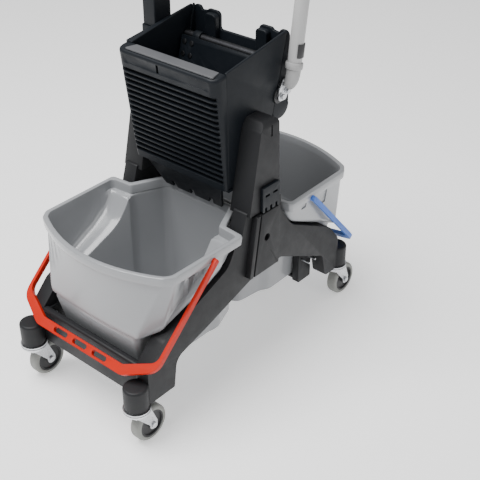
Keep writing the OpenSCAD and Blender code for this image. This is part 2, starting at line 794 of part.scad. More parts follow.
// Jaw: a perforated plate that hangs from a rod across the press
rod_y = 104;
rod_h = press_top_h - 23;
jaw_top = [82, press_top_h - 18];
jaw_foot = [20, press_floor_h + 21];
jaw_l = norm(jaw_top - jaw_foot);
jaw_tilt = atan((jaw_top[0] - jaw_foot[0]) / (jaw_top[1] - jaw_foot[1]));
jaw_half_w = press_half_w - press_wall - 5;
jaw_bolt_d = 8;
jaw_bolt_x = [jaw_half_w - 12, jaw_half_w - 34];
jaw_bolt_z = [-14, -42];
module jaw_hinge_rod() {
    color(zinc) trolley() translate([0, rod_y, rod_h])
        rod_x(-press_half_w + press_wall, press_half_w - press_wall, rod_d);
}
// Places a shape on the jaw's face, with Z up along the plate from its top edge and Y into it
module on_jaw() {
    translate([0, jaw_top[0], jaw_top[1]]) rotate([-jaw_tilt, 0, 0]) children();
}
module jaw_plate() {
    color(press_black) trolley() on_jaw() difference() {
        union() {
            translate([-jaw_half_w, 0, -jaw_l]) cube([2 * jaw_half_w, jaw_t, jaw_l]);
            for (x = [-100, 100]) translate([x - 4, jaw_t, -jaw_l + 10]) cube([8, 10, jaw_l - 90]);
        }
        for (s = [-1, 1]) for (x = jaw_bolt_x) for (z = jaw_bolt_z)
            translate([s * x, -1, z]) rotate([-90, 0, 0]) cylinder(d = jaw_bolt_d + 2 * fit, h = jaw_t + 2);
        for (x = [-7:7]) for (z = [2:6])
            translate([x * 14, -1, -z * 34]) rotate([-90, 0, 0]) cylinder(d = 7, h = jaw_t + 2);
    }
}
knuckle_d = rod_d + 9;
knuckle_x0 = 84;
knuckle_w = 20;
module jaw_hinges() {
    color(press_black) trolley() for (s = [-1, 1]) on_side(s) difference() {
        union() {
            translate([knuckle_x0, rod_y, rod_h]) rotate([0, 90, 0]) cylinder(d = knuckle_d, h = knuckle_w);
            intersection() {
                translate([knuckle_x0, rod_y - 34, rod_h - 44]) cube([knuckle_w, 34, 44]);
                on_jaw() translate([0, jaw_t, -60]) cube([press_half_w, 18, 70]);
            }
        }
        translate([0, rod_y, rod_h]) rod_x(knuckle_x0 - 1, knuckle_x0 + knuckle_w + 1, rod_d + 2 * fit);
        for (x = jaw_bolt_x) for (z = jaw_bolt_z) on_jaw()
            translate([x, 0, z]) rotate([-90, 0, 0]) cylinder(d = jaw_bolt_d + 6, h = jaw_t + 6);
    }
}
module jaw_bolts() {
    color(zinc) trolley() on_jaw() for (s = [-1, 1]) for (x = jaw_bolt_x) for (z = jaw_bolt_z)
        translate([s * x, -2, z]) rotate([-90, 0, 0]) {
            cylinder(d = jaw_bolt_d + 4, h = 2);
            cylinder(d = jaw_bolt_d, h = jaw_t + 4);
        }
}

// Casters: a ball race under each socket, a stem, a pressed fork, an axle, a hub and a tyre
race_h = 9;
race_d = 62;
race_lip = 3.5;
fork_head_d = 52;
fork_head_z = deck_z - race_h - clear;
fork_plate_z = wheel_d + 3;
fork_gap = tyre_w / 2 + 1.5;
leg_t = 3;
axle_d = 8;
hub_d = wheel_d - 21;
hub_w = tyre_w - 2;
stem_head_h = 4;
module at_caster(c) {
    translate([c[1] * caster_track / 2, c[2] + mid_y, 0]) children();
}
module at_axle(c) {
    at_caster(c) translate([0, caster_trail, wheel_d / 2]) children();
}
module caster_races() {
    color(zinc) for (c = casters) at_caster(c) translate([0, 0, deck_z - race_h]) difference() {
        union() {
            cylinder(d = race_d - 8, h = race_h);
            for (z = [0, race_h - race_lip]) translate([0, 0, z]) cylinder(d = race_d, h = race_lip);
        }
        translate([0, 0, -1]) cylinder(d = stem_d + 2 * fit, h = race_h + 2);
    }
}
module caster_stems() {
    z0 = fork_plate_z - clear;
    color(zinc) for (c = casters) at_caster(c) {
        translate([0, 0, z0 - stem_head_h]) cylinder(d = stem_d + 7, h = stem_head_h);
        translate([0, 0, z0]) cylinder(d = stem_d, h = deck_z + stem_depth - 2 - z0);
    }
}
module caster_fork(c) {
    leg = rounded([
        [-20, fork_plate_z + 4, 2],
        [24, fork_plate_z + 4, 2],
        [caster_trail + 11, wheel_d / 2 + 7, 6],
        [caster_trail + 11, wheel_d / 2 - 11, 10],
        [caster_trail - 11, wheel_d / 2 - 11, 10],
        [caster_trail - 11, wheel_d / 2 + 4, 8]
    ]);
    color(zinc) at_caster(c) difference() {
        union() {
            translate([0, 0, fork_plate_z + 1]) cylinder(d = fork_head_d, h = fork_head_z - fork_plate_z - 1);
            translate([-fork_gap - leg_t, -20, fork_plate_z]) cube([2 * (fork_gap + leg_t), 44, 4]);
            for (s = [-1, 1]) on_side(s) along_x(fork_gap, fork_gap + leg_t) polygon(leg);
        }
        translate([0, 0, fork_plate_z - 1]) cylinder(d = stem_d + 2 * fit, h = 20);
        translate([0, caster_trail, wheel_d / 2])
            rod_x(-fork_gap - leg_t - 1, fork_gap + leg_t + 1, axle_d + 2 * fit);
    }
}
module caster_axle(c) {
    reach = fork_gap + leg_t;
    color(zinc) at_axle(c) union() {
        rod_x(-reach, reach, axle_d);
        for (s = [-1, 1]) on_side(s) rod_x(reach, reach + 4, axle_d + 6);
    }
}
module wheel_hub(c) {
    color(hub_black) at_axle(c) difference() {
        union() {
            rod_x(-hub_w / 2, hub_w / 2, hub_d);
            rod_x(-fork_gap + clear, fork_gap - clear, axle_d + 8);
        }
        for (s = [-1, 1]) on_side(s) difference() {
            rod_x(hub_w / 2 - 4, hub_w / 2 + 1, hub_d - 8);
            rod_x(hub_w / 2 - 5, hub_w / 2 + 2, axle_d + 14);
        }
        rod_x(-tyre_w, tyre_w, axle_d + 2 * fit);
    }
}
module wheel_tyre(c) {
    color(tyre_grey) at_axle(c) rotate([0, 90, 0]) rotate_extrude($fn = 96) polygon(rounded([
        [hub_d / 2 + fit, -tyre_w / 2, 1],
        [wheel_d / 2, -tyre_w / 2, 7],
        [wheel_d / 2, tyre_w / 2, 7],
        [hub_d / 2 + fit, tyre_w / 2, 1]
    ]));
}

// Buckets: a wide upper body that sits over the arms, and a narrower lower body between them.
// An outline lists half widths and distances: back, notch, shoulder, side's end and front's end,
// then the bulge's distance and two radii. The shoulders lie v from the back, and n is the notch.
// Each ring of the wall is one outline at its own height.
front_notch_w = frame_in - 1;
rear_notch_w = press_half_w - 8;
corner_y = 312;
body_gap = 18;
low_w = frame_in - body_gap;
ledge_w = rim_shoulder_w - 11;
side_end_w = rim_shoulder_w - rim_taper;
wall_inset = 7;
function rim_outline(v, n) = [tongue_w, 5, n, v + 1, rim_shoulder_w, v + 6,
    side_end_w, corner_y - 12, side_end_w - 15, corner_y + 9, rim_bulge_y, 10, 22];
function ledge_outline(v, n) = [tongue_w - 5, 8, n - 5, v + 6, ledge_w, v + 10,
    ledge_w - 18, corner_y, low_w + 6, rim_bulge_y - 14, rim_bulge_y - 10, 12, 12];
function waist_w(n) = min(low_w + 6, n - 7);
function waist_outline(v, n) = [tongue_w - 7, 10, waist_w(n), v + 6, low_w, v + 26,
    low_w, corner_y + 34, low_w - 7, rim_bulge_y - 15, rim_bulge_y - 11, 36, 12];
function floor_outline(v, n) = [tongue_w - 9, 13, waist_w(n) - 8, v + 10, low_w - 7, v + 32,
    low_w - 9, corner_y + 10, low_w - 17, rim_bulge_y - 40, rim_bulge_y - 37, 36, 12];
function inset(o, d) = [o[0] - d, o[1] + 0.6 * d, o[2] - d, o[3] + d, o[4] - d, o[5] + d,
    o[6] - d, o[7] - 0.3 * d, o[8] - 0.6 * d, o[9] - 0.9 * d, o[10] - d, o[11], o[12]];
function bulge_at(o, t) = [o[8] * t, o[10] - (o[10] - o[9]) * t * t, 0];
function side_at(o, t) = [o[4] + (o[6] - o[4]) * t, o[5] + (o[7] - o[5]) * t, 0];
function bucket_right(o) = [
    [o[0], o[1], 24], [o[2], o[3], o[11]], [o[4], o[5], o[11]],
    for (t = [0.07, 0.1, 0.13]) side_at(o, t),
    [o[6], o[7], o[12]], [o[8], o[9], o[12]],
    for (t = [0.75, 0.5, 0.25]) bulge_at(o, t)
];
function bucket_left(o) =
    let (right = bucket_right(o))
    [for (i = [len(right) - 1:-1:0]) [-right[i][0], right[i][1], right[i][2]]];
function bucket_ring(o) = rounded(concat(bucket_right(o), [[0, o[10], 0]], bucket_left(o)), 3);
function level(o, z) = [for (p = bucket_ring(o)) [p[0], p[1], z]];
// The wall is one closed skin: up the outside, over the rim and down the inside.
// The ledge under the upper body keeps clear of the arm's top edge and rises to the rim's band at the shoulder.
front_ledge = [front_arm_h + 6, front_arm_angle, 93, 100];
rear_ledge = [rear_arm_h + 3, arm_angle, 36, 74];
front_shoulder = shoulder_y;
rear_shoulder = shoulder_y - 3;
module bucket(edge, v, ahead, n) {
    w = bucket_wall;
    rim = rim_outline(v, n);
    shelf = ledge_outline(v, n);
    low_rim_h = rim_h - rim_band;
    function ledge(o, up) = [for (p = bucket_ring(o))
        [p[0], p[1], min(ledge_top, arm_top(edge, p[1] + ahead)) + clear + 0.2 + up]];
    rings = [
        level(floor_outline(v, n), bucket_floor_h),
        ledge(waist_outline(v, n), 0),
        ledge(shelf, 2),
        level(inset(rim, wall_inset), low_rim_h),
        level(inset(rim, 1), low_rim_h),
        level(rim, rim_h),
        level(inset(rim, lip_w), rim_h),
        level(inset(rim, lip_w + 0.5), low_rim_h),
        ledge(inset(shelf, w), w + 2),
        ledge(inset(waist_outline(v, n), w), w),
        level(inset(floor_outline(v, n), w), bucket_floor_h + w)
    ];
    translate([0, ahead, 0]) polyhedron(
        points = [for (r = rings) each r], faces = tube_faces(len(rings), len(rings[0])), convexity = 10);
}
module bucket_front() {
    color(bucket_grey) trolley() mirror([0, 1, 0])
        bucket(front_ledge, front_shoulder, front_bucket_y, front_notch_w);
}
module bucket_rear() {
    color(bucket_grey) trolley() bucket(rear_ledge, rear_shoulder, rear_bucket_y, rear_notch_w);
}

// Bails: a U-shaped handle on each bucket, with a flat grip band with three slots, on two pins
bail_h = rim_h - bail_drop;
arm_x = rim_shoulder_w - 1;
bend_l = bail_l - 32;
grip_half_w = 134;
slot_l = 45;
slot_h = 12;
slot_pitch = 63;
pin_head_d = bail_pin_d + 4;
pin_head_t = 2;
module bail_outline() {
    outer_r = 34;
    inner_r = 24;
    out = arm_x + arm_w;
    end = strap_w / 2;
    low = -bail_l - grip_w / 2;
    top = -bail_l + grip_w / 2;
    difference() {
        polygon(rounded([
            [out, end, 2], [out, -bend_l, outer_r], [grip_half_w + 4, low, outer_r],
            [-grip_half_w - 4, low, outer_r], [-out, -bend_l, outer_r], [-out, end, 2],
            [-arm_x, end, 2], [-arm_x, -bend_l + 18, inner_r], [-grip_half_w + 6, top, inner_r],
            [grip_half_w - 6, top, inner_r], [arm_x, -bend_l + 18, inner_r], [arm_x, end, 2]
        ]));
        for (i = [-1:1]) translate([i * slot_pitch, -bail_l]) polygon(rounded(box_outline(
            -slot_l / 2, -slot_h / 2, slot_l / 2, slot_h / 2, slot_h / 2 - 0.1)));
    }
}
// The strap narrows to the grip band's thickness on its way round the bend
module bail_side() {
    end_r = strap_w / 2 - 0.5;
    along_x(-arm_x - arm_w - 1, arm_x + arm_w + 1) polygon(rounded([
        [-strap_w / 2, strap_w / 2, end_r],
        [-strap_w / 2, -bend_l + 34, 30],
        [-band_t / 2, -bend_l, 30],
        [-band_t / 2, -bail_l - grip_w, 2],
        [band_t / 2, -bail_l - grip_w, 2],
        [band_t / 2, -bend_l, 30],
        [strap_w / 2, -bend_l + 34, 30],
        [strap_w / 2, strap_w / 2, end_r]
    ]));
}
module bail(dir, y, angle) {
    out = arm_x + arm_w;
    trolley() translate([0, dir * y, bail_h]) rotate([dir * angle, 0, 0]) difference() {
        intersection() {
            along_y(-strap_w, strap_w) bail_outline();
            bail_side();
        }
        for (s = [-1, 1]) on_side(s) {
            rod_x(arm_x - 1, out + 1, bail_pin_d + 2 * fit);
            rod_x(out - pin_head_t - clear, out + 1, pin_head_d + 2 * clear);
        }
    }
}
module bail_front() {
    color(red) bail(-1, front_bail_y, front_bail_angle);
}
module bail_rear() {
    color(blue) bail(1, rear_bail_y, rear_bail_angle);
}
module bail_pins(y) {
    out = arm_x + arm_w;
    color(bucket_grey) trolley() translate([0, y, bail_h]) for (s = [-1, 1]) on_side(s) union() {
        rod_x(arm_x - 9, arm_x - clear, bail_pin_d + 10);
        rod_x(arm_x - clear, out - pin_head_t, bail_pin_d);
        rod_x(out - pin_head_t, out, pin_head_d);
    }
}

side_frame(-1);  // side_frame_left
side_frame(1);  // side_frame_right
front_apron();
rear_crossbar();
tower_left();
tower_right();
foot_cover(-1);  // foot_cover_left
foot_cover(1);  // foot_cover_right
latch_plate(-1);  // latch_plate_left
latch_plate(1);  // latch_plate_right
press_front_wall();
press_top_strip();
press_side(-1);  // press_side_left
press_side(1);  // press_side_right
press_back_wall();
press_back_housing();
press_floor();
drip_lip();
post_sleeve();
push_post();
push_handle();
frame_bolts();
shaft_bushes();
jaw_hinge_rod();
caster_races();
caster_stems();
lever_shaft();
lever_bracket();
lever_bolts();
lever_elbow();
lever_tube();
lever_clip();
lever_grip();
lever_crank();
return_spring();
jaw_plate();
jaw_hinges();
jaw_bolts();
bucket_front();
bucket_rear();
bail_front();
bail_rear();
bail_pins(-front_bail_y);  // bail_pins_front
bail_pins(rear_bail_y);  // bail_pins_rear
for (c = casters) {
    caster_fork(c);
    caster_axle(c);
    wheel_hub(c);
    wheel_tyre(c);
}
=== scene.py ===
import bpy
import bmesh
import json
import math
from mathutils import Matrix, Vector


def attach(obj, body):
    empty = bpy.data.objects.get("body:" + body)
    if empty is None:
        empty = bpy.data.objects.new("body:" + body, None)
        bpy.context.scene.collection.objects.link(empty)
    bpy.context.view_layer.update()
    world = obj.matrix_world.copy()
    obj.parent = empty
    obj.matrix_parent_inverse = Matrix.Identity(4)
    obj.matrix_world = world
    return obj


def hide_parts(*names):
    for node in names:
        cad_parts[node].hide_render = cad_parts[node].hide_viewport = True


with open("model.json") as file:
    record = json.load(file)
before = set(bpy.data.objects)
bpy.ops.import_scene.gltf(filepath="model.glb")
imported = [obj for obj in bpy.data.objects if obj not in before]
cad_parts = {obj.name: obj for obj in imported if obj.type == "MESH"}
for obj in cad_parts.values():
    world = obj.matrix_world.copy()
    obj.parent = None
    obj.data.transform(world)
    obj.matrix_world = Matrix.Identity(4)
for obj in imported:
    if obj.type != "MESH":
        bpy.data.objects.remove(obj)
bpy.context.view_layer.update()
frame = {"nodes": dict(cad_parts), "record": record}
NODES = frame["nodes"]
SCENE = bpy.context.scene

# Lengths are in mm, measured as in the part's source: from the press's mid plane and the chassis underside
MID_Y = 20.0
DECK = 107.0
METRES = 0.001


def at(x, y, z):
    return Vector((x, y + MID_Y, z + DECK)) * METRES


# Camera, at the photograph's angle
CAMERA_PLACE = (1327.0, -1416.4, 1413.0)
CAMERA_AZIMUTH, CAMERA_PITCH = math.radians(40.5), math.radians(33.0)
LENS, SENSOR = 71.25, 36.0


def add_camera():
    data = bpy.data.cameras.new("photo_camera")
    data.sensor_width = SENSOR
    data.lens = LENS
    cam = bpy.data.objects.new("photo_camera", data)
    SCENE.collection.objects.link(cam)
    cam.location = at(*CAMERA_PLACE)
    look = Vector((
        -math.sin(CAMERA_AZIMUTH) * math.cos(CAMERA_PITCH),
        math.cos(CAMERA_AZIMUTH) * math.cos(CAMERA_PITCH),
        -math.sin(CAMERA_PITCH),
    ))
    cam.rotation_euler = look.to_track_quat("-Z", "Y").to_euler()
    SCENE.camera = cam


add_camera()


# Meshes
SMOOTH_ANGLE = 40.0


def taken(bm, name):
    """The mesh that a bmesh holds. The bmesh is freed."""
    mesh = bpy.data.meshes.new(name)
    bm.to_mesh(mesh)
    bm.free()
    return mesh


def skin(bm, loops):
    """Faces from each loop of points to the next, and one face at either end."""
    count = len(loops[0])
    for low, high in zip(loops, loops[1:]):
        for i in range(count):
            j = (i + 1) % count
            bm.faces.new((low[i], low[j], high[j], high[i]))
    bm.faces.new(loops[0])
    bm.faces.new(loops[-1])


def closed(bm, name):
    """The mesh of a closed skin, with its normals outward."""
    bmesh.ops.recalc_face_normals(bm, faces=bm.faces[:])
    return taken(bm, name)


def smooth(mesh):
    for face in mesh.polygons:
        face.use_smooth = True


def smooth_below(mesh, angle=SMOOTH_ANGLE):
    """Smooth shading that leaves edges sharper than an angle as they are."""
    smooth(mesh)
    mesh.set_sharp_from_angle(angle=math.radians(angle))


def arc_corner(a, b, c, r, n):
    """Points on an arc of radius r that rounds the corner b between a and c."""
    u, w = (a - b).normalized(), (c - b).normalized()
    half = math.acos(max(-1.0, min(1.0, u.dot(w)))) / 2
    o = b + (u + w).normalized() * r / math.sin(half)
    p = b + u * r / math.tan(half) - o
    q = b + w * r / math.tan(half) - o
    return [o + r * (p * (n - i) + q * i).normalized() for i in range(n + 1)]


def rounded(points, n):
    """A closed outline of (x, y, radius) points with its corners rounded in n steps."""
    out = []
    for i, (x, y, r) in enumerate(points):
        a, c = points[i - 1], points[(i + 1) % len(points)]
        b = Vector((x, y))
        out += [b] if r == 0 else arc_corner(Vector(a[:2]), b, Vector(c[:2]), r, n)
    return out


def carved(mesh, cutters):
    """The mesh with every cutter's shape taken out of it."""
    piece = bpy.data.objects.new("carved", mesh)
    SCENE.collection.objects.link(piece)
    tools = []
    for cutter in cutters:
        tool = bpy.data.objects.new("cutter", cutter)
        SCENE.collection.objects.link(tool)
        tools.append(tool)
        cut = piece.modifiers.new("cut", "BOOLEAN")
        cut.operation = "DIFFERENCE"
        cut.solver = "EXACT"
        cut.object = tool
    done = bpy.data.meshes.new_from_object(piece.evaluated_get(bpy.context.evaluated_depsgraph_get()))
    for obj in [piece] + tools:
        bpy.data.objects.remove(obj)
    return done


# Light and floor, in metres
WORLD_STRENGTH = 0.45
FLOOR_SIZE = 9.0


def area_light(name, place, target, size, power):
    data = bpy.data.lights.new(name, "AREA")
    data.shape = "RECTANGLE"
    data.size, data.size_y = size
    data.energy = power
    lamp = bpy.data.objects.new(name, data)
    SCENE.collection.objects.link(lamp)
    lamp.location = place
    aim = Vector(target) - Vector(place)
    lamp.rotation_euler = aim.to_track_quat("-Z", "Y").to_euler()


def add_lights():
    world = bpy.data.worlds.new("studio")
    world.use_nodes = True
    sky = world.node_tree.nodes["Background"]
    sky.inputs["Color"].default_value = (1.0, 1.0, 1.0, 1.0)
    sky.inputs["Strength"].default_value = WORLD_STRENGTH
    SCENE.world = world
    area_light("key", (-0.5, -1.1, 3.3), (0.0, -0.1, 0.3), (2.2, 2.2), 175)
    area_light("right", (3.0, 0.6, 1.8), (0.0, 0.0, 0.4), (1.6, 2.0), 20)
    area_light("front", (0.4, -3.2, 1.6), (0.0, 0.0, 0.3), (2.4, 1.6), 3)


def add_floor():
    bm = bmesh.new()
    bmesh.ops.create_grid(bm, x_segments=8, y_segments=8, size=FLOOR_SIZE)
    mesh = taken(bm, "floor")
    floor = bpy.data.objects.new("floor", mesh)
    SCENE.collection.objects.link(floor)
    mat = bpy.data.materials.new("floor_pale")
    mat.use_nodes = True
    shader = mat.node_tree.nodes["Principled BSDF"]
    shader.inputs["Base Color"].default_value = (0.95, 0.95, 0.95, 1.0)
    shader.inputs["Roughness"].default_value = 0.7
    shader.inputs["Emission Color"].default_value = (1.0, 1.0, 1.0, 1.0)
    shader.inputs["Emission Strength"].default_value = 0.5
    mesh.materials.append(mat)


add_lights()
add_floor()


# Materials
class Graph:
    """Short names for the nodes that the materials are made of."""

    def __init__(self, name):
        self.mat = bpy.data.materials.new(name)
        self.mat.use_nodes = True
        self.tree = self.mat.node_tree
        self.shader = self.tree.nodes["Principled BSDF"]
        self.coords = self.tree.nodes.new("ShaderNodeTexCoord").outputs["Object"]

    def link(self, a, b):
        self.tree.links.new(a, b)

    def mapped(self, scale):
        node = self.tree.nodes.new("ShaderNodeMapping")
        node.inputs["Scale"].default_value = scale
        self.link(self.coords, node.inputs["Vector"])
        return node.outputs["Vector"]

    def noise(self, scale, detail, rough, vector=None):
        node = self.tree.nodes.new("ShaderNodeTexNoise")
        node.inputs["Scale"].default_value = scale
        node.inputs["Detail"].default_value = detail
        node.inputs["Roughness"].default_value = rough
        self.link(vector or self.coords, node.inputs["Vector"])
        return node.outputs["Fac"]

    def cells(self, scale):
        node = self.tree.nodes.new("ShaderNodeTexVoronoi")
        node.inputs["Scale"].default_value = scale
        self.link(self.coords, node.inputs["Vector"])
        return node.outputs["Distance"]

    def ramp(self, value, stops):
        node = self.tree.nodes.new("ShaderNodeValToRGB")
        for element, (place, colour) in zip(node.color_ramp.elements, stops):
            element.position = place
            element.color = (*colour, 1.0)
        self.link(value, node.inputs["Fac"])
        return node.outputs["Color"]

    def span(self, value, lo, hi, low, high):
        node = self.tree.nodes.new("ShaderNodeMapRange")
        node.inputs["From Min"].default_value = lo
        node.inputs["From Max"].default_value = hi
        node.inputs["To Min"].default_value = low
        node.inputs["To Max"].default_value = high
        self.link(value, node.inputs["Value"])
        return node.outputs["Result"]

    def mix(self, factor, under, over):
        """A colour laid over another, as far as the factor says."""
        node = self.tree.nodes.new("ShaderNodeMix")
        node.data_type = "RGBA"
        self.link(factor, node.inputs["Factor"])
        first, second = [s for s in node.inputs if s.type == "RGBA"]
        self.link(under, first)
        second.default_value = (*over, 1.0)
        return [s for s in node.outputs if s.type == "RGBA"][0]

    def add(self, a, b, weight):
        node = self.tree.nodes.new("ShaderNodeMath")
        node.operation = "MULTIPLY_ADD"
        node.inputs[1].default_value = weight
        self.link(b, node.inputs[0])
        self.link(a, node.inputs[2])
        return node.outputs["Value"]

    def bump(self, height, strength, distance):
        node = self.tree.nodes.new("ShaderNodeBump")
        node.inputs["Strength"].default_value = strength
        node.inputs["Distance"].default_value = distance
        self.link(height, node.inputs["Height"])
        self.link(node.outputs["Normal"], self.shader.inputs["Normal"])

    def put(self, name, value):
        if isinstance(value, (int, float)):
            self.shader.inputs[name].default_value = value
        else:
            self.link(value, self.shader.inputs[name])


def shade(colour, k):
    return tuple(min(1.0, c * k) for c in colour)


PLASTIC_GRAIN = 700.0


def plastic(name, colour, rough=0.42, bump=0.12, contrast=0.10, scuff=0.25, coat=0.0, gloss=0.5,
            speckle=0.22, sheen=0.08):
    """Moulded plastic: broad shades, fine specks, faint scuffs and a grain."""
    g = Graph(name)
    broad = g.noise(5.0, 4.0, 0.6)
    body = g.ramp(broad, [(0.3, shade(colour, 1.0 - contrast)), (0.7, shade(colour, 1.0 + contrast))])
    speck = g.noise(1400.0, 2.0, 0.5)
    body = g.mix(g.span(speck, 0.45, 0.75, 0.0, speckle), body, shade(colour, 1.35))
    lines = g.noise(26.0, 5.0, 0.7, g.mapped((3.0, 0.6, 9.0)))
    marks = g.span(lines, 0.62, 0.78, 0.0, scuff)
    body = g.mix(marks, body, shade(colour, 1.7))
    g.put("Base Color", body)
    g.put("Roughness", g.span(g.noise(40.0, 4.0, 0.6), 0.25, 0.75, rough - sheen, rough + sheen))
    g.put("Specular IOR Level", gloss)
    g.put("Coat Weight", coat)
    g.put("Coat Roughness", 0.12)
    g.bump(g.add(g.noise(PLASTIC_GRAIN, 3.0, 0.6), g.cells(PLASTIC_GRAIN * 0.6), 0.6), bump, 0.0006)
    return g.mat


def steel(name, colour, rough=0.3):
    """Plated steel: blotches and a fine spangle."""
    g = Graph(name)
    blotch = g.noise(60.0, 4.0, 0.65)
    body = g.ramp(blotch, [(0.3, shade(colour, 0.82)), (0.7, shade(colour, 1.08))])
    spangle = g.cells(240.0)
    body = g.mix(g.span(spangle, 0.1, 0.6, 0.0, 0.3), body, shade(colour, 0.9))
    g.put("Base Color", body)
    g.put("Metallic", 1.0)
    g.put("Roughness", g.span(g.noise(140.0, 3.0, 0.6), 0.3, 0.7, rough - 0.08, rough + 0.1))
    g.bump(g.noise(900.0, 2.0, 0.5), 0.06, 0.0003)
    return g.mat


def rubber(name, colour, rough=0.7):
    """Matt rubber with a little dust."""
    g = Graph(name)
    body = g.ramp(g.noise(24.0, 5.0, 0.65), [(0.3, shade(colour, 0.85)), (0.72, shade(colour, 1.12))])
    dust = g.noise(320.0, 3.0, 0.6)
    body = g.mix(g.span(dust, 0.5, 0.8, 0.0, 0.3), body, shade(colour, 1.4))
    g.put("Base Color", body)
    g.put("Roughness", g.span(g.noise(90.0, 3.0, 0.6), 0.3, 0.7, rough - 0.08, rough + 0.08))
    g.bump(g.add(g.noise(1200.0, 3.0, 0.6), g.cells(500.0), 0.5), 0.2, 0.0005)
    return g.mat


MATS = {
    "chassis_plastic": plastic(
        "chassis_plastic", (0.0135, 0.014, 0.0155), rough=0.5, scuff=0.12, gloss=0.26),
    "press_plastic": plastic(
        "press_plastic", (0.0058, 0.0078, 0.0108), rough=0.46, scuff=0.10, gloss=0.2),
    "strip_plastic": plastic(
        "strip_plastic", (0.075, 0.077, 0.083), rough=0.5, contrast=0.06),
    "bucket_plastic": plastic(
        "bucket_plastic", (0.282, 0.290, 0.302), rough=0.2, contrast=0.015, scuff=0.02, bump=0.01,
        coat=0.35, speckle=0.06, sheen=0.02),
    "red_plastic": plastic(
        "red_plastic", (0.50, 0.013, 0.002), rough=0.4, contrast=0.08, scuff=0.04, bump=0.07, gloss=0.25),
    "blue_plastic": plastic(
        "blue_plastic", (0.065, 0.16, 0.52), rough=0.4, contrast=0.08, scuff=0.04, bump=0.07, gloss=0.3),
    "lever_aluminium": plastic(
        "lever_tube_grey", (0.42, 0.42, 0.42), rough=0.4, contrast=0.04, scuff=0.05, bump=0.04),
    "elbow_plastic": plastic(
        "elbow_plastic", (0.33, 0.33, 0.33), rough=0.45, contrast=0.05, scuff=0.05, bump=0.06),
    "zinc_steel": steel("zinc_steel", (0.66, 0.67, 0.69)),
    "dark_steel": steel("dark_steel", (0.045, 0.046, 0.05), rough=0.5),
    "hub_plastic": plastic("hub_plastic", (0.020, 0.020, 0.022), rough=0.45),
    "tyre_rubber": rubber("tyre_rubber", (0.25, 0.255, 0.24)),
    "grip_rubber": rubber("grip_rubber", (0.020, 0.020, 0.022)),
}
SLOT_OF = {s["node"]: s["material_slot"] for s in frame["record"]["subparts"]}
BODY_OF = {n: b for b, members in frame["record"]["behaviour"]["bodies"].items() for n in members}


# Pieces
BEVEL_ANGLE, FLAT_ANGLE = math.radians(32.0), math.radians(0.6)
WELD = 2e-5


def new_piece(name, mesh, slot, body, *stands_for):
    piece = bpy.data.objects.new(name, mesh)
    SCENE.collection.objects.link(piece)
    mesh.materials.clear()
    mesh.materials.append(MATS[slot])
    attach(piece, body)
    if stands_for:
        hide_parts(*stands_for)
    return piece


def bevelled(piece, width, segments=3):
    edge = piece.modifiers.new("edge", "BEVEL")
    edge.width = width * METRES
    edge.segments = segments
    edge.limit_method = "ANGLE"
    edge.angle_limit = BEVEL_ANGLE
    edge.harden_normals = True


def softened(node, width, segments=3, reshape=None, slot=None):
    """A copy of a CAD node with its sharp edges rounded, which stands for it."""
    bm = bmesh.new()
    bm.from_mesh(NODES[node].data)
    bmesh.ops.remove_doubles(bm, verts=bm.verts[:], dist=WELD)
    bmesh.ops.dissolve_limit(bm, angle_limit=FLAT_ANGLE, verts=bm.verts[:], edges=bm.edges[:])
    if reshape:
        for v in bm.verts:
            x, y, z = v.co / METRES
            v.co = at(*reshape(x, y - MID_Y, z - DECK))
    mesh = taken(bm, node + "_soft")
    smooth(mesh)
    piece = new_piece(node + "_soft", mesh, slot or SLOT_OF[node], BODY_OF[node], node)
    bevelled(piece, width, segments)


for node, obj in NODES.items():
    obj.data.materials.clear()
    obj.data.materials.append(MATS[SLOT_OF[node]])

for node, width in {
    "side_frame_left": 3.5, "side_frame_right": 3.5, "front_apron": 3.0, "rear_crossbar": 2.0,
    "foot_cover_left": 3.0, "foot_cover_right": 3.0,
    "latch_plate_left": 1.2, "latch_plate_right": 1.2, "press_top_strip": 1.0,
    "press_side_right": 1.8, "press_back_wall": 2.5, "press_back_housing": 1.6,
    "push_handle": 4.0, "lever_crank": 1.0,
    "jaw_plate": 1.2, "jaw_hinges": 1.2, "jaw_bolts": 0.6, "bail_front": 2.2, "bail_rear": 2.2,
}.items():
    softened(node, width)


# Pieces whose form is trimmed a little
FLARE, FLARE_FOOT, FLARE_H, FLARE_END, FLARE_RUN = 15.0, 374.0, 267.0, 130.0, 200.0
SIDE_MIDDLE, SIDE_INNER_SHIFT = -136.0, 2.0
LIP_FOOT, LIP_H, LIP_WIDENING, LIP_DROP, LIP_DROP_H = 304.0, 62.0, 0.3, 9.0, 26.0
TOWER_FOOT, TOWER_DROP = 332.0, 9.0


def flared_side(x, y, z):
    """Flares the left side's outer face, most at the top of its front corner."""
    if x >= SIDE_MIDDLE:
        return x - SIDE_INNER_SHIFT, y, z
    rise = max(0.0, (z - FLARE_FOOT) / FLARE_H)
    return x - FLARE * rise * max(0.0, min(1.0, (FLARE_END - y) / FLARE_RUN)), y, z


def wider_lip(x, y, z):
    """Widens the drip lip's top and lets its lower edge hang inside the bucket's rim."""
    up = z - LIP_FOOT
    return x * (1.0 + LIP_WIDENING * up / LIP_H), y, z - LIP_DROP * max(0.0, 1.0 - up / LIP_DROP_H)


def lower_foot(x, y, z):
    """Lets a tower's foot reach a little further down."""
    return x, y, z - TOWER_DROP if z < TOWER_FOOT else z


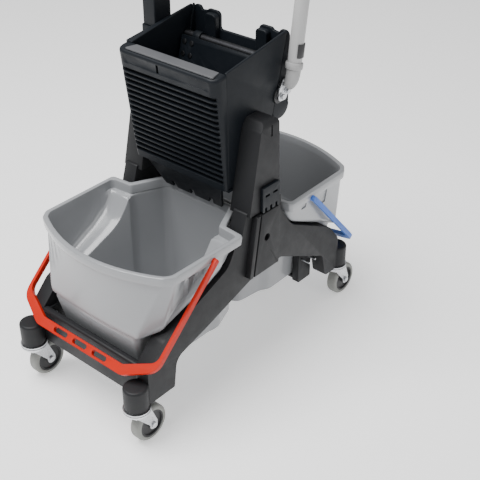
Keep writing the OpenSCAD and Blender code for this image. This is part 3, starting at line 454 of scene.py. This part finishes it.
softened("press_side_left", 5.0, 4, reshape=flared_side)
softened("drip_lip", 1.2, reshape=wider_lip)
softened("bail_pins_front", 0.6, slot="red_plastic")
softened("bail_pins_rear", 0.6, slot="blue_plastic")
softened("push_post", 2.5)
softened("post_sleeve", 2.5)
for side in ("left", "right"):
    softened("tower_" + side, 5.0, reshape=lower_foot)
for corner in ("front_left", "front_right", "rear_left", "rear_right"):
    softened("caster_fork_" + corner, 0.9)
    softened("caster_axle_" + corner, 0.8)
    softened("wheel_hub_" + corner, 0.8)


# Buckets: rings like those in the part's source, with more points and with rounded edges
SHOULDER = 82.0
RIM_H, FLOOR_H, BAND, LEDGE_TOP, LEDGE_GAP = 298.0, 6.0, 22.0, 267.0, 0.5
BAND_FOOT = RIM_H - BAND
WALL_TOP_INSET, WALL_TOP = 7.6, BAND_FOOT - 3.0
WALL_START = 18.0
BUCKET_WALL = 4.0
RING_STEP, OUTSIDE_MOST, INSIDE_MOST = 0.05, 24.0, 25.0
BACK_R, CORNER_STEPS = 24.0, 8
POCKET_DEPTH, POCKET_REACH, POCKET_EDGE = 3.0, 12.0, 1.2

# A side's points are closer together where the ledge's edge curves
SIDE_STEPS = (0.07, 0.1, 0.13, 0.18, 0.25, 0.4, 0.6, 0.8)
END_STEPS = (0.88, 0.75, 0.6, 0.45, 0.3, 0.15)

# Sections through a bucket's wall: floor and rim as (inset, rise), ledge as (share of its width, rise)
FLOOR_OUTSIDE = ((12.0, 0.0), (4.0, 0.8), (0.8, 4.5), (0.0, 10.0))
LEDGE_OUTSIDE = ((0.0, -8.0), (0.0, -1.2), (0.04, 0.3), (0.5, 1.0), (0.76, 2.0), (0.88, 4.4),
                 (0.96, 9.0), (1.0, WALL_START))
BAND_SECTION = ((6.8, -0.2), (1.7, 0.2), (0.8, 2.0))
RIM_SECTION = ((0.0, -3.4), (0.7, -1.2), (2.4, 0.0), (9.4, 0.0), (11.2, -1.2), (12.0, -4.0), (12.5, -BAND))
LEDGE_INSIDE = ((1.0, 24.0), (0.965, 15.0), (0.88, 10.4), (0.74, 7.6), (0.4, 5.9), (0.12, 4.4),
                (0.03, 1.5), (0.0, -4.0))
FLOOR_INSIDE = ((4.2, 24.0), (7.5, 10.0), (16.0, 4.6), (30.0, 4.0))


class Outline:
    """One level of a bucket in plan, as (half width, distance from the mid plane) of its corners."""

    def __init__(self, back, notch, shoulder, side, corner, end, notch_r, corner_r):
        self.back, self.notch, self.shoulder = back, notch, shoulder
        self.side, self.corner, self.end = side, corner, end
        self.notch_r, self.corner_r = notch_r, corner_r

    def points(self, d):
        """The whole outline, moved in by d, or by a share of it where an edge slants."""
        w0, v0 = self.back[0] - d, self.back[1] + 0.6 * d
        w1, v1 = self.notch[0] - d, self.notch[1] + d
        w2, v2 = self.shoulder[0] - d, self.shoulder[1] + d
        w3, v3 = self.side[0] - d, self.side[1] - 0.3 * d
        w4, v4 = self.corner[0] - 0.6 * d, self.corner[1] - 0.9 * d
        v5 = self.end - d
        half = [(w0, v0, BACK_R), (w1, v1, self.notch_r), (w2, v2, self.notch_r)]
        half += [(w2 + (w3 - w2) * t, v2 + (v3 - v2) * t, 0.0) for t in SIDE_STEPS]
        half += [(w3, v3, self.corner_r), (w4, v4, self.corner_r)]
        half += [(w4 * t, v5 - (v5 - v4) * t * t, 0.0) for t in END_STEPS]
        other = [(-x, y, r) for x, y, r in reversed(half)]
        return rounded(half + [(0.0, v5, 0.0)] + other, CORNER_STEPS)

    def wall_w(self, v):
        """Half width of the side at a distance v from the mid plane."""
        (w2, v2), (w3, v3) = self.shoulder, self.side
        return w2 + (w3 - w2) * (v - v2) / (v3 - v2)


class Bucket:
    """One bucket as rings, from the outside of its floor over the rim to the inside of its floor.

    The ledge's edge is given as its height at the shoulder, its slope in degrees, and the reach and
    the width of the curve in which it rises to the shoulder.
    """

    def __init__(self, side, edge, shoulder, ahead, notch):
        self.side, self.edge, self.ahead = side, edge, ahead
        v, waist_w = shoulder, min(140, notch - 10)
        self.rim = Outline(
            (112, 5), (notch, v + 1), (207, v + 6), (203, 300), (188, 321), 371, 10, 22)
        self.shelf = Outline(
            (107, 8), (notch - 8, v + 6), (196, v + 10), (178, 312), (140, 357), 361, 12, 12)
        self.waist = Outline(
            (105, 10), (waist_w, v + 6), (134, v + 26), (134, 346), (127, 356), 360, 36, 12)
        self.floor = Outline(
            (103, 13), (waist_w - 8, v + 10), (127, v + 32), (125, 322), (117, 331), 334, 36, 12)
        self.rings = []

    def ledge_edge(self, v):
        """Height of the ledge's underside at a distance v from the mid plane."""
        height, slope, reach, width = self.edge
        y = v + self.ahead
        rise = max(0.0, SHOULDER + reach - y) ** 2 / width
        return min(LEDGE_TOP, height - (y - SHOULDER) * math.tan(math.radians(slope)) + rise) + LEDGE_GAP

    def flat(self, level, inset, z):
        self.rings.append([(p.x, p.y, z) for p in level.points(inset)])

    def ledge(self, inset, t, up):
        """A ring on the ledge, where t goes from the waist to the shelf's outer edge.

        Under the rim's band the rings would meet, so there they lie a small step apart.
        """
        top, most = (BAND_FOOT, INSIDE_MOST) if inset > 0.0 else (WALL_TOP, OUTSIDE_MOST)
        highest = top - RING_STEP * (most - up)
        ring = []
        for a, b in zip(self.waist.points(inset), self.shelf.points(inset)):
            p = a.lerp(b, t)
            ring.append((p.x, p.y, min(highest, self.ledge_edge(p.y) + up)))
        self.rings.append(ring)

    def wall_x(self, v, z):
        """Half width of the upper body's outer side wall."""
        high = self.rim.wall_w(v) - WALL_TOP_INSET
        low = self.shelf.wall_w(v)
        foot = self.ledge_edge(v) + WALL_START
        return low + (high - low) * (z - foot) / (WALL_TOP - foot)

    def shell(self, name):
        for inset, up in FLOOR_OUTSIDE:
            self.flat(self.floor, inset, FLOOR_H + up)
        for t, up in LEDGE_OUTSIDE:
            self.ledge(0.0, t, up)
        self.flat(self.rim, WALL_TOP_INSET, WALL_TOP)
        for inset, up in BAND_SECTION:
            self.flat(self.rim, inset, BAND_FOOT + up)
        for inset, up in RIM_SECTION:
            self.flat(self.rim, inset, RIM_H + up)
        for t, up in LEDGE_INSIDE:
            self.ledge(BUCKET_WALL, t, up)
        for inset, up in FLOOR_INSIDE:
            self.flat(self.floor, inset, FLOOR_H + up)
        bm = bmesh.new()
        skin(bm, [[bm.verts.new(self.place(*p)) for p in ring] for ring in self.rings])
        return closed(bm, name)

    def place(self, x, v, z):
        return at(x, self.side * (v + self.ahead), z)

    def pocket(self, hand, near, far, low, high):
        """A cutter for a shallow pocket in the left (-1) or right (1) side wall."""
        bm = bmesh.new()
        bmesh.ops.create_cube(bm, size=2.0)
        for c in bm.verts:
            v, z = (near if c.co.y < 0 else far), (low if c.co.z < 0 else high)
            x = self.wall_x(v, z) + (POCKET_REACH if c.co.x > 0 else -POCKET_DEPTH)
            c.co = self.place(hand * x, v, z)
        bmesh.ops.recalc_face_normals(bm, faces=bm.faces[:])
        bmesh.ops.bevel(bm, geom=bm.edges[:], offset=POCKET_EDGE * METRES, segments=2, profile=0.5,
                        affect="EDGES")
        return taken(bm, "pocket")


def bucket_piece(name, body, node, bucket, pockets):
    """One bucket, with pockets as (near, far, low, high) in both side walls."""
    cutters = [bucket.pocket(hand, *pocket) for pocket in pockets for hand in (-1, 1)]
    mesh = carved(bucket.shell(name), cutters)
    smooth_below(mesh)
    new_piece(name, mesh, "bucket_plastic", body, node)


bucket_piece(
    "front_bucket_shell", "front_bucket", "bucket_front",
    Bucket(side=-1, edge=(244.0, 21.4, 93.0, 100.0), shoulder=82.0, ahead=4.0, notch=151.0),
    [(208, 224, 252, 274), (248, 266, 222, 274)])
bucket_piece(
    "rear_bucket_shell", "rear_bucket", "bucket_rear",
    Bucket(side=1, edge=(240.0, 27.5, 36.0, 74.0), shoulder=79.0, ahead=-9.0, notch=131.0),
    [(139, 157, 256, 274), (222, 241, 232, 274)])


# Press front wall: one moulded skin whose ribs follow the rounded corners
WALL_FOOT_Y, WALL_FOOT_Z, WALL_LEAN, WALL_H, PRESS_W = -73.0, 372.0, 30.0, 269.0, 139.0
WALL_TILT = math.atan(WALL_LEAN / WALL_H)
RIBS, RIB_LOW, RIB_HIGH = 16, 16.0, 232.0
RIB_PITCH = (RIB_HIGH - RIB_LOW) / RIBS
RIB_MARGIN, RIB_END = 5.5, 1.5
WALL_SMOOTH_ANGLE = 38.0

# The wall's corner radius and its depth at the sides, each at the foot and what it gains to the top
WALL_R, WALL_R_GAIN = 9.0, 13.0
WALL_DEPTH, WALL_DEPTH_GAIN = 10.0, 25.0
CORNER_TURNS = [math.radians(9.0 * k) for k in range(11)]
CORNER_LAND, FRONT_POINTS = 6.0, (102.0, 60.0, 20.0)

# A rib's groove as (share of the pitch, depth), and the shares at which it has a row of points
RIB_PROFILE = ((0.0, 0.0), (0.04, 2.0), (0.10, 9.0), (0.56, 9.0), (0.66, 3.5), (0.72, 0.8), (0.78, 0.0),
               (1.0, 0.0))
RIB_ROWS = (0.001, 0.04, 0.10, 0.33, 0.56, 0.66, 0.72, 0.78, 0.9)
ROWS_BELOW, ROWS_ABOVE = (0.0, 6.0, 11.0, 14.0), (238.0, 241.0, 242.0, 250.0, 260.0, 261.0, 263.0)
TOP_EDGE = ((266.5, 0.9), (268.6, 3.0), (269.4, 6.0), (269.6, 9.0))

# Two shallow fields above the ribs, with a slot between them
FIELD_LOW, FIELD_HIGH, FIELD_DEPTH = 241.0, 261.0, 1.2
FIELDS = ((-118.0, -36.0), (-14.0, 118.0))
SLOT_PLACE, SLOT_SIZE = (-25.0, 2.0, 251.0), (6.0, 12.0, 20.0)


def wall_place(x, y, z):
    """A place on the leaning wall, whose left half is flared like the left side."""
    c, s = math.cos(WALL_TILT), math.sin(WALL_TILT)
    if x < 0:
        x *= 1.0 + FLARE / PRESS_W * z / WALL_H
    return at(x, WALL_FOOT_Y + y * c - z * s, WALL_FOOT_Z + y * s + z * c)


def rib_depth(z):
    if not RIB_LOW < z < RIB_HIGH:
        return 0.0
    t = ((z - RIB_LOW) % RIB_PITCH) / RIB_PITCH
    for (a, depth_a), (b, depth_b) in zip(RIB_PROFILE, RIB_PROFILE[1:]):
        if t <= b:
            return depth_a + (depth_b - depth_a) * (t - a) / (b - a)


def wall_depth(x, z, half):
    """How far the wall lies back, in a rib's groove or in a field above the ribs."""
    if FIELD_LOW < z < FIELD_HIGH and any(a < x < b for a, b in FIELDS):
        return FIELD_DEPTH
    return rib_depth(z) * max(0.0, min(1.0, (half - RIB_MARGIN - abs(x)) / RIB_END))


def wall_path(z, inset, half, r):
    """The wall's outside in plan, from its right end to its left end, without the ribs."""
    back = WALL_DEPTH + WALL_DEPTH_GAIN * z / WALL_H
    right = [(half, back), (half, (back + r) / 2)]
    right += [(half - r + r * math.cos(a), r - r * math.sin(a) + inset) for a in CORNER_TURNS]
    right += [(x, inset) for x in (half - r - CORNER_LAND, *FRONT_POINTS)]
    return right + [(-x, y) for x, y in reversed(right)]


def wall_section(z, inset):
    half, r = PRESS_W - inset, WALL_R + WALL_R_GAIN * z / WALL_H
    path = wall_path(z, inset, half, r)
    out = []
    for i, (x, y) in enumerate(path):
        a, b = path[max(i - 1, 0)], path[min(i + 1, len(path) - 1)]
        along = Vector((b[0] - a[0], b[1] - a[1])).normalized()
        inward = Vector((along.y, -along.x))
        if inward.y < 0 and abs(x) < half - r:
            inward = -inward
        depth = wall_depth(x, z, half)
        out.append((x + inward.x * depth, y + abs(inward.y) * depth))
    return out


def front_wall():
    rows = list(ROWS_BELOW)
    rows += [RIB_LOW + RIB_PITCH * (i + t) for i in range(RIBS) for t in RIB_ROWS]
    rows += [RIB_HIGH, *ROWS_ABOVE]
    levels = [(z, 0.0) for z in rows] + list(TOP_EDGE)
    bm = bmesh.new()
    skin(bm, [[bm.verts.new(wall_place(x, y, z)) for x, y in wall_section(z, inset)] for z, inset in levels])
    return closed(bm, "press_front_skin")


def wall_slot():
    bm = bmesh.new()
    bmesh.ops.create_cube(bm, size=1.0)
    for v in bm.verts:
        v.co = wall_place(*(place + size * c for place, size, c in zip(SLOT_PLACE, SLOT_SIZE, v.co)))
    return taken(bm, "slot")


wall_mesh = carved(front_wall(), [wall_slot()])
smooth_below(wall_mesh, WALL_SMOOTH_ANGLE)
new_piece("press_front_skin", wall_mesh, "press_plastic", "chassis", "press_front_wall")


# Lever's foot: a bent elbow that tapers down to a bright bracket with two bolts
LEVER_X, LEVER_Y, LEVER_Z = 162.3, 104.0, 540.0
LEAN = math.radians(10.4)
SET_BACK, SET_BACK_TOP, SET_BACK_RUN, SET_BACK_MOST = 11.0, 300.0, 227.0, 1.2
CLIP_TURN = math.radians(-62.0)

# The elbow's collar as (t, radius), and its bend as (x, y, t, half width, half depth)
COLLAR = ((81.0, 16.3), (80.8, 18.6), (79.5, 19.5), (67.5, 19.5), (66.2, 18.6), (65.8, 16.2), (60.0, 16.0))
BEND = (
    (162.2, -0.4, 52.0, 15.8, 15.7), (161.8, -1.2, 45.0, 15.4, 15.3), (160.8, -2.4, 38.0, 14.6, 14.6),
    (159.2, -4.2, 31.5, 13.2, 13.6), (157.4, -6.2, 26.0, 11.2, 12.2), (156.0, -7.6, 22.5, 7.6, 10.0),
)
ELBOW_SIDES = 32

# The bracket's plate as (y, t, radius), and its bolts at (y, t) with a washer and a six-sided head
PLATE = ((-22.0, -10.0, 9.0), (6.0, -10.0, 9.0), (14.0, 16.0, 8.0), (9.0, 40.0, 8.0), (-9.0, 40.0, 8.0),
         (-22.0, 16.0, 9.0))
PLATE_X = (142.6, 147.0)
BOLTS = ((-11.0, 1.0), (6.0, 12.0))
BOLT_STEPS = ((24, 9.0, 146.4, 148.4), (6, 6.4, 148.4, 154.4))


def set_back(t):
    """How far the lever's lower end lies behind its axis, at a height t along it."""
    return SET_BACK * max(0.0, min(SET_BACK_MOST, (SET_BACK_TOP - t) / SET_BACK_RUN))


def on_lever(x, y, t):
    y += set_back(t)
    c, s = math.cos(LEAN), math.sin(LEAN)
    return at(x, LEVER_Y + y * c + t * s, LEVER_Z - y * s + t * c)


def swept(name, path):
    """A tube along a path on the lever, each step given as (x, y, t, half width, half depth)."""
    bm = bmesh.new()
    loops = []
    for i, (x, y, t, rx, ry) in enumerate(path):
        a, b = path[max(i - 1, 0)], path[min(i + 1, len(path) - 1)]
        along = Vector((b[0] - a[0], b[1] - a[1], b[2] - a[2])).normalized()
        side = along.cross(Vector((0.0, 1.0, 0.0))).normalized()
        deep = along.cross(side).normalized()
        ring = []
        for k in range(ELBOW_SIDES):
            angle = 2.0 * math.pi * k / ELBOW_SIDES
            p = Vector((x, y, t)) + side * rx * math.cos(angle) + deep * ry * math.sin(angle)
            ring.append(bm.verts.new(on_lever(*p)))
        loops.append(ring)
    skin(bm, loops)
    mesh = closed(bm, name)
    smooth_below(mesh)
    return mesh


def plate(name, points, x0, x1):
    """A plate on the lever from x0 to x1, with an outline of (y, t) points."""
    bm = bmesh.new()
    skin(bm, [[bm.verts.new(on_lever(x, y, t)) for y, t in points] for x in (x0, x1)])
    return closed(bm, name)


def bolt_heads(name):
    bm = bmesh.new()
    for y, t in BOLTS:
        for sides, r, x0, x1 in BOLT_STEPS:
            angles = [2.0 * math.pi * k / sides for k in range(sides)]
            ring = [(y + r * math.cos(a), t + r * math.sin(a)) for a in angles]
            bm.from_mesh(plate("head", ring, x0, x1))
    return taken(bm, name)


elbow_path = [(LEVER_X, 0.0, t, r, r) for t, r in COLLAR] + list(BEND)
elbow_mesh = swept("lever_elbow_bent", elbow_path)
new_piece("lever_elbow_bent", elbow_mesh, "elbow_plastic", "lever", "lever_elbow")
plate_mesh = plate("lever_bracket_plate", rounded(PLATE, 6), *PLATE_X)
bevelled(new_piece("lever_bracket_plate", plate_mesh, "zinc_steel", "lever", "lever_bracket"), 0.9)
bolt_mesh = bolt_heads("lever_bolt_heads")
bevelled(new_piece("lever_bolt_heads", bolt_mesh, "zinc_steel", "lever", "lever_bolts"), 0.7)


def tube_back(x, y, z):
    """Sets a place on the straight tube back, to join the elbow."""
    back = set_back((y - LEVER_Y) * math.sin(LEAN) + (z - LEVER_Z) * math.cos(LEAN))
    return x, y + back * math.cos(LEAN), z - back * math.sin(LEAN)


def clip_turn(x, y, z):
    """Turns the clip round the tube to the lever's outer front."""
    axis_y = LEVER_Y + (z - LEVER_Z) / math.cos(LEAN) * math.sin(LEAN)
    dx, dy = x - LEVER_X, y - axis_y
    c, s = math.cos(CLIP_TURN), math.sin(CLIP_TURN)
    return tube_back(LEVER_X + dx * c - dy * s, axis_y + dx * s + dy * c, z)


softened("lever_clip", 0.6, reshape=clip_turn)
softened("lever_tube", 0.6, reshape=tube_back)


# Posts in front of the press's ears
POST_X, POST_Y, POST_Z, POST_R = (58.5, 91.0), (119.0, 134.5), (596.0, 672.0), 9.0


def ear_posts(name):
    (inner, outer), (foot, top) = POST_X, POST_Z
    points = rounded([(inner, foot, 0.0), (inner, top, POST_R), (outer, top, POST_R), (outer, foot, 0.0)], 6)
    bm = bmesh.new()
    for hand in (-1.0, 1.0):
        skin(bm, [[bm.verts.new(at(hand * p.x, y, p.y)) for p in points] for y in POST_Y])
    return closed(bm, name)


bevelled(new_piece("press_ear_posts", ear_posts("press_ear_posts"), "press_plastic", "chassis"), 3.0)
